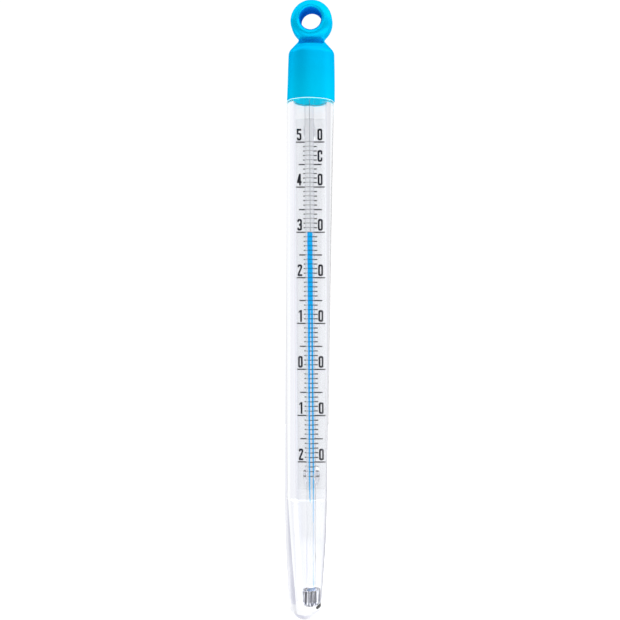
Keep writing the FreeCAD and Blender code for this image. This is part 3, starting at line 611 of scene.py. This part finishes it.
def bore_ring(r, z_global, wave=0.0):
    """A ring of the bore on the leaning core axis; wave is the depth of its fine ribs."""
    rr = r + wave * ribs
    pts = np.stack([rr * np.cos(theta), rr * np.sin(theta), np.full(SEG, z_global - RIM)], 1)
    return core_space(pts)


for z in np.linspace(-20.3, -166.2, 80):
    r = np.interp(z, [-166.3, -20.1], [5.65, 6.0])
    rings.append(bore_ring(r, z, 0.0012))
for r, z in ((5.645, -166.34), (5.635, -166.45), (5.615, -166.60), (5.60, -166.75)):
    rings.append(bore_ring(r, z, 0.003))
low_z = [-202.0, -200.2, -190.0, -178.0, -166.6]
low_r = [3.66, 3.76, 4.34, 4.98, 5.595]
for z in np.linspace(-166.9, -202.0, 60):
    deep = min(1.0, (-166.6 - z) / 2.0)
    rings.append(bore_ring(float(smooth_curve(low_z, low_r, [z])[0]), z, 0.010 * max(0.3, deep)))
for a in np.linspace(4.0, 88.0, 22):
    rr, zz = 3.66 * math.cos(math.radians(a)), -202.0 - 3.66 * math.sin(math.radians(a))
    rings.append(bore_ring(rr, zz, 0.010 * math.cos(math.radians(a)) ** 2))
tube = rings_mesh("clear_housing_tube", rings, angle=50)
paint(tube, CLEAR)
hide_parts("housing_tube")
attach(tube, "housing")

# ------------------------------------------------------------- scale strip
nu, nv = 44, 260
us = np.linspace(-STRIP_W / 2, STRIP_W / 2, nu + 1)
vs = np.linspace(0, -STRIP_L, nv + 1)
front, back = [], []
for side, depth in ((front, 0.0), (back, STRIP_T)):
    for v in vs:
        for u in us:
            y = STRIP_FRONT + depth
            cu = max(0.0, u - (STRIP_W / 2 - 1.5)) / 1.5
            top_curl = max(0.0, 1.0 - abs(v) / 1.4)
            low_curl = max(0.0, 1.0 - abs(v + STRIP_L) / 2.2)
            y += 0.35 * cu * cu * (top_curl ** 2 + low_curl ** 2)
            y += 0.02 * math.sin(v * 0.11 + 0.4) * (1 - (2 * u / STRIP_W) ** 2)
            side.append((u, y, v))
grid = lambda i, j: j * (nu + 1) + i
n_front = len(front)
faces = []
for j in range(nv):
    for i in range(nu):
        a, b, c, d = grid(i, j), grid(i + 1, j), grid(i + 1, j + 1), grid(i, j + 1)
        faces.append((a, d, c, b))
        faces.append(tuple(n_front + k for k in (a, b, c, d)))
edge = [grid(i, 0) for i in range(nu)] + [grid(nu, j) for j in range(nv)] + \
       [grid(i, nv) for i in range(nu, 0, -1)] + [grid(0, j) for j in range(nv, 0, -1)]
for a, b in zip(edge, edge[1:] + edge[:1]):
    faces.append((a, b, b + n_front, a + n_front))
strip = make("opal_scale_strip", strip_space(front + back), faces, angle=40)
paint(strip, OPAL)
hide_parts("scale_strip")
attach(strip, "housing")

paint(nodes["graduation_lines"], LINES)
paint(nodes["scale_numerals"], INK)

# ----------------------------------------------------------- capillary stem
half = math.sqrt(STEM_R ** 2 - STEM_FLAT ** 2)
a0 = math.atan2(STEM_FLAT, -half)
a1 = math.atan2(STEM_FLAT, half) + 2 * math.pi
arc_a = np.linspace(a0, a1, 90)
arc_pts = [(STEM_R * math.cos(a), STEM_R * math.sin(a)) for a in arc_a]
flat_pts = [(x, STEM_FLAT) for x in np.linspace(half, -half, 14)[1:-1]]
section = np.array(arc_pts + flat_pts)


def stem_ring(scale, z_global):
    z = z_global - STEM_REF
    return np.column_stack([section * scale, np.full(len(section), z)])


rings = [stem_ring(0.985, FOOT), stem_ring(1.0, FOOT + 0.06)]
for z in np.linspace(FOOT + 1.0, -26.2, 70):
    rings.append(stem_ring(1.0, z))
for a in np.linspace(10, 86, 12):
    rings.append(stem_ring(math.cos(math.radians(a)), -26.2 + 1.55 * math.sin(math.radians(a))))
stem_points = np.vstack(rings)
stem = rings_mesh("lens_front_stem", rings, angle=60, transform=stem_space)
paint(stem, GLASS)
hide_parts("capillary_stem")
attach(stem, "housing")

def ribbon(name, x0, x1, y, thick, z_lo, z_hi, steps, mat, z_ref=STEM_REF, to_space=stem_space):
    """Flat closed ribbon inside the stem."""
    rows = []
    for z in np.linspace(z_lo, z_hi, steps):
        xs = np.linspace(x0, x1, 5)
        rows.append(np.array([(x, y - thick, z - z_ref) for x in xs] + [(x, y + thick, z - z_ref) for x in xs[::-1]]))
    return paint(rings_mesh(name, rows, angle=40, transform=to_space), mat)


# ------------------------------------------------------------ liquid column
# One flat thread near its end; lower down a clear streak opens in it, so that it
# runs on as two fine lines. The left one stops short, the right one thins out.
# The clear streak is a gap cut in the dye to show a painted highlight down the round thread.
d = 0.042
HIGHLIGHT_GAP_TOP, LEFT_END = -98.0, -168.4
zs = np.concatenate([np.linspace(REST_TOP, REST_TOP - 5.8, 20), np.linspace(REST_TOP - 6.0, HIGHLIGHT_GAP_TOP, 18),
                     np.linspace(HIGHLIGHT_GAP_TOP - 1.0, LEFT_END, 120), np.linspace(LEFT_END - 0.8, FOOT + 0.02, 46)])
# half width of the gap that shows the painted highlight, by height
highlight_gap_z = [-197.5, -150.0, -135.0, -122.0, -112.0, -104.0, HIGHLIGHT_GAP_TOP]
highlight_gap_half = [0.64, 0.44, 0.38, 0.30, 0.20, 0.10, 0.0]
mid_z, mid_v = [-128.0, -98.0], [0.0, 0.10]
right_z, right_w = [-197.5, -193.0, -172.0, -160.0, -60.0], [0.030, 0.045, 0.17, 1.0, 1.0]
left_z, left_w = [-168.4, -166.5, -160.0, -60.0], [0.12, 0.7, 1.0, 1.0]


def thread_rows(z):
    """Edges of the left and the right part of the thread at height z."""
    half = np.interp(z, highlight_gap_z, highlight_gap_half) * COL_W
    mid = np.interp(z, mid_z, mid_v) * COL_W
    left_in, right_in = mid - half, mid + half
    left_out = left_in - (left_in + COL_W) * np.interp(z, left_z, left_w)
    right_out = right_in + (COL_W - right_in) * max(0.16, np.interp(z, right_z, right_w))
    return (left_out, left_in), (right_in, right_out)


nl, m_pts, m_faces = 6, [], []


def thread_row(z, lo, hi):
    """Front and back points of one part of the thread; returns their numbers."""
    ids = []
    for side in (-1, 1):
        for x in np.linspace(lo, hi, nl):
            m_pts.append((x + COL_X, 0.90 + side * d * math.sqrt(max(0.05, 1 - (x / COL_W) ** 2)), z - STEM_REF))
            ids.append(len(m_pts) - 1)
    return ids


def quads(a, b, flip):
    for u, v, w, x in zip(a[:-1], a[1:], b[1:], b[:-1]):
        m_faces.append((u, v, w, x) if not flip else (x, w, v, u))


rows = []
for z in zs:
    (l0, l1), (r0, r1) = thread_rows(z)
    joined = z >= HIGHLIGHT_GAP_TOP - 1e-6
    left = thread_row(z, l0, l1) if z >= LEFT_END - 1e-6 else None
    right = thread_row(z, r0, r1)
    if joined:
        right[0], right[nl] = left[nl - 1], left[2 * nl - 1]
    rows.append((left, right, joined))
for (la, ra, ja), (lb, rb, jb) in zip(rows, rows[1:]):
    for a, b, outer_first in ((la, lb, True), (ra, rb, False)):
        if a is None or b is None:
            continue
        quads(a[:nl], b[:nl], True)
        quads(a[nl:], b[nl:], False)
        inner, outer = (nl - 1, 0) if outer_first else (0, nl - 1)
        edges = [outer] if (ja and jb) else [outer, inner]
        for e in edges:
            left_side = e == 0
            q = (a[e], b[e], b[e + nl], a[e + nl])
            m_faces.append(q if not left_side else q[::-1])
for ids in (rows[0][0], rows[0][1]):
    quads(ids[:nl], ids[nl:], False)
for left, right, _ in rows[::-1]:
    if left is not None:
        quads(left[:nl], left[nl:], True)
        break
quads(rows[-1][1][:nl], rows[-1][1][nl:], True)
used = sorted({i for f in m_faces for i in f})
renumber = {old: new for new, old in enumerate(used)}
column = make("blue_liquid_column", stem_space(np.array([m_pts[i] for i in used])),
              [tuple(renumber[i] for i in f) for f in m_faces], angle=50)
bm = bmesh.new()
bm.from_mesh(column.data)
bmesh.ops.recalc_face_normals(bm, faces=bm.faces)
bm.to_mesh(column.data)
bm.free()
paint(column, BLUE)
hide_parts("liquid_thread", "thread_top")
ends = stem_space(np.array([[0, 0.9, FOOT - STEM_REF], [0, 0.9, REST_TOP - STEM_REF]])) * MM
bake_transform(column)

# the empty bore above the column: a narrow ribbon for the shadow along its edge
BORE_TOP = -26.3
SHADOW, ts, bs = material("bore_shadow")
fleck = noise(ts, object_coords(ts, (500, 500, 60)), 1.0, 2.0)
ts.links.new(ramp(ts, fleck, [(0.3, (0.30, 0.32, 0.42)), (0.7, (0.52, 0.54, 0.62))]), bs.inputs["Base Color"])
bs.inputs["Roughness"].default_value = 0.6
ends = stem_space(np.array([[0, 0.9, REST_TOP - STEM_REF], [0, 0.9, BORE_TOP - STEM_REF]])) * MM
piece = ribbon("empty_bore_edge", COL_X + 0.03, COL_X + 0.10, 0.91, 0.01, REST_TOP + 0.03, BORE_TOP, 90, SHADOW)
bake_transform(piece)

# --------------------------------------------------------- bulb and ballast
SG = 96


def lathe(name, profile, to_space, z_ref, mat, angle=45, segments=SG):
    rings = [ring(r, z - z_ref, segments) for r, z in profile]
    return paint(rings_mesh(name, rings, angle=angle, transform=to_space), mat)


ball = -201.6
outer = [(2.3 * math.sin(math.radians(a)), ball - 2.3 * math.cos(math.radians(a))) for a in np.linspace(3, 90, 18)]
outer += [(2.3, -200.2), (2.29, -198.9), (2.2, -198.5), (1.95, -198.0), (1.72, -197.68), (1.63, -197.52)]
inner_p = [(1.36, -197.52), (1.40, -197.8), (1.62, -198.4), (1.86, -198.8), (1.92, -199.3), (1.92, -201.6)]
inner_p += [(1.92 * math.cos(math.radians(a)), ball - 1.92 * math.sin(math.radians(a))) for a in np.linspace(6, 87, 16)]
bulb = lathe("glass_bulb", outer + inner_p, stem_space, STEM_REF, GLASS)
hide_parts("stem_bulb")
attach(bulb, "housing")
fill = [(1.88 * math.sin(math.radians(a)), ball - 1.88 * math.cos(math.radians(a))) for a in np.linspace(3, 90, 16)]
fill += [(1.88, -199.3), (1.82, -198.85), (1.57, -198.42), (1.34, -197.8), (1.30, -197.6)]
mf, tf, bf = material("bulb_dye")
tf.links.new(ramp(tf, noise(tf, object_coords(tf, (400, 400, 400)), 1.0), [(0.3, (0.0, 0.22, 0.72)), (0.7, (0.0, 0.30, 0.80))]),
             bf.inputs["Base Color"])
bf.inputs["Roughness"].default_value = 0.2
liquid = lathe("bulb_dyed_liquid", fill, stem_space, STEM_REF, mf)
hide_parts("bulb_liquid")
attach(liquid, "housing")

cy = -202.05
slug_out = [(3.4 * math.sin(math.radians(a)), cy - 3.4 * math.cos(math.radians(a))) for a in np.linspace(2, 90, 30)]
slug_out += [(3.4, z) for z in np.linspace(-201.8, -198.75, 8)] + [(3.34, -198.55), (3.2, -198.42), (3.05, -198.40)]
ex = 0.02
slug_in_z = [-198.40, -198.5, -199.5, -201.5, -202.6, -203.6, -204.15]
slug_in_r = [2.50, 2.42, 2.42, 2.42, 2.25, 1.55, 0.25]
rings = [ring(r, z - RIM, SG) for r, z in slug_out]
shift = stem_space(np.array([[0, 0, -201.0 - STEM_REF]]))[0] - core_space(np.array([[0, 0, -201.0 - RIM]]))[0]
rings += [ring(r, z - RIM, SG, cx=shift[0], cy=shift[1]) for r, z in zip(slug_in_r, slug_in_z)]
slug = paint(rings_mesh("end_weight", rings, angle=45, transform=core_space), STEEL)
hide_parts("ballast_slug")
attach(slug, "housing")

for name, mat in (("ballast_adhesive", THIN_GLUE), ("upper_stem_adhesive", GLUE), ("lower_stem_adhesive", GLUE)):
    paint(nodes[name], mat)
    for poly in nodes[name].data.polygons:
        poly.use_smooth = True

# --------------------------------------------------------- floor and light
bpy.ops.mesh.primitive_plane_add(size=14.0, location=(0, 0, -0.9))
floor = bpy.context.object
floor.name = "studio_floor"
mfl, tfl, bfl = material("pale_floor")
tfl.links.new(ramp(tfl, noise(tfl, object_coords(tfl, (6, 6, 6)), 1.0), [(0.3, (0.92, 0.92, 0.92)), (0.7, (0.94, 0.94, 0.94))]),
              bfl.inputs["Base Color"])
bfl.inputs["Roughness"].default_value = 0.9
bfl.inputs["Specular IOR Level"].default_value = 0.0
bfl.inputs["Emission Color"].default_value = (1, 1, 1, 1)
bfl.inputs["Emission Strength"].default_value = 0.5
floor.visible_diffuse = False
floor.visible_glossy = False
floor.visible_transmission = False
floor.visible_shadow = False
paint(floor, mfl)

# Studio surroundings: brightness by direction, one row per band of elevation
# (degrees above the horizontal), azimuth from the front (-Y) towards +X.
BACK = 1.05
SKY = [
    (-90, [(-180, 1.3), (-90, 1.2), (0, 1.4), (90, 1.6), (180, 1.3)]),
    (-40, [(-180, 1.0), (-128, 1.5), (-105, 3.0), (-85, 2.6), (-58, 0.7), (-20, 2.7), (20, 3.2), (50, 3.1), (92, 3.2),
           (122, 1.1), (134, 0.95), (146, 0.95), (160, 1.0), (180, 1.0)]),
    (-17, [(-180, BACK), (-160, BACK), (-148, 0.98), (-112, 1.00), (-99, 0.90), (-88, 0.26), (-60, 0.12), (0, 0.10),
           (60, 0.12), (70, 0.30), (80, 0.80), (112, 0.96), (132, 0.94), (143, 0.62), (158, 0.62), (163, BACK),
           (180, BACK)]),
    (-8, [(-180, BACK), (-160, BACK), (-148, 0.98), (-112, 1.00), (-99, 0.90), (-88, 0.26), (-60, 0.12), (0, 0.10),
          (60, 0.12), (70, 0.30), (80, 0.80), (112, 0.93), (143, 0.80), (158, 0.80), (163, BACK), (180, BACK)]),
    (19, [(-180, 0.74), (-140, 1.2), (-105, 3.9), (-80, 2.0), (-60, 0.6), (-36, 0.9), (-10, 2.6), (10, 2.9), (50, 2.9),
          (72, 3.0), (100, 3.6), (140, 1.2), (155, 0.70), (180, 0.70)]),
    (40, [(-180, 0.9), (-90, 2.2), (0, 2.2), (90, 2.2), (180, 0.9)]),
]
TINT = (0.985, 0.985, 1.02)
COOL = (0.96, 0.96, 1.10)
PEAK = 4.0

world = bpy.data.worlds.new("studio_white")
scene.world = world
world.use_nodes = True
wt = world.node_tree
bg = wt.nodes["Background"]
wc = wt.nodes.new("ShaderNodeTexCoord")
wsep = wt.nodes.new("ShaderNodeSeparateXYZ")
wt.links.new(wc.outputs["Generated"], wsep.inputs["Vector"])
azi = math_node(wt, "ARCTAN2", wsep.outputs["X"], math_node(wt, "MULTIPLY", wsep.outputs["Y"], -1.0))
azi = math_node(wt, "ADD", math_node(wt, "DIVIDE", azi, 2 * math.pi), 0.5)
elev = wsep.outputs["Z"]


def rise(lo, hi):
    n = wt.nodes.new("ShaderNodeMapRange")
    n.interpolation_type = "SMOOTHSTEP"
    n.inputs["From Min"].default_value = math.sin(math.radians(lo))
    n.inputs["From Max"].default_value = math.sin(math.radians(hi))
    wt.links.new(elev, n.inputs["Value"])
    return n.outputs["Result"]


def grey(v):
    if v >= BACK:
        return (v / PEAK,) * 3
    return tuple(v * c / PEAK for c in (COOL if 0.5 < v < 0.79 else TINT))


sky = None
for low, stops in SKY:
    row = ramp(wt, azi, [((a + 180) / 360, grey(v)) for a, v in stops])
    sky = row if sky is None else mix_color(wt, rise(low - 2, low + 2), sky, row)
wt.links.new(sky, bg.inputs["Color"])
bg.inputs["Strength"].default_value = PEAK

# ------------------------------------------------------------------- camera
K = 0.35                       # millimetres on the object for one image unit
FOCAL = 1060.0                 # focal length in image units, frame 620 wide
DIST = FOCAL * K
azim = math.radians(-4.0)
roll = math.radians(0.655)
view = Vector((math.sin(azim), math.cos(azim), 0.0))
side = Vector((math.cos(azim), -math.sin(azim), 0.0))
centre = Vector((0, 0, -(310.0 - 21.5) * K)) + side * ((310.0 - 307.95) * K)
cam_pos = (centre - view * DIST) * MM
up = Vector((0, 0, 1))
right_vec = side * math.cos(roll) + up * math.sin(roll)
up_vec = up * math.cos(roll) - side * math.sin(roll)
cam_data = bpy.data.cameras.new("photo_view")
cam = bpy.data.objects.new("photo_view", cam_data)
scene.collection.objects.link(cam)
cam.matrix_world = Matrix((
    (right_vec.x, up_vec.x, -view.x, cam_pos.x),
    (right_vec.y, up_vec.y, -view.y, cam_pos.y),
    (right_vec.z, up_vec.z, -view.z, cam_pos.z),
    (0, 0, 0, 1)))
cam_data.sensor_width = 36.0
cam_data.lens = 36.0 * FOCAL / 620.0
cam_data.clip_start = 0.01
cam_data.clip_end = 20.0
cam_data.dof.use_dof = False
scene.camera = cam

scene.view_settings.view_transform = "Standard"
scene.view_settings.look = "None"
scene.view_settings.exposure = 0.0
scene.view_settings.gamma = 1.0
scene.cycles.max_bounces = 32
scene.cycles.transmission_bounces = 28
scene.cycles.glossy_bounces = 8
scene.cycles.diffuse_bounces = 4
scene.cycles.transparent_max_bounces = 16
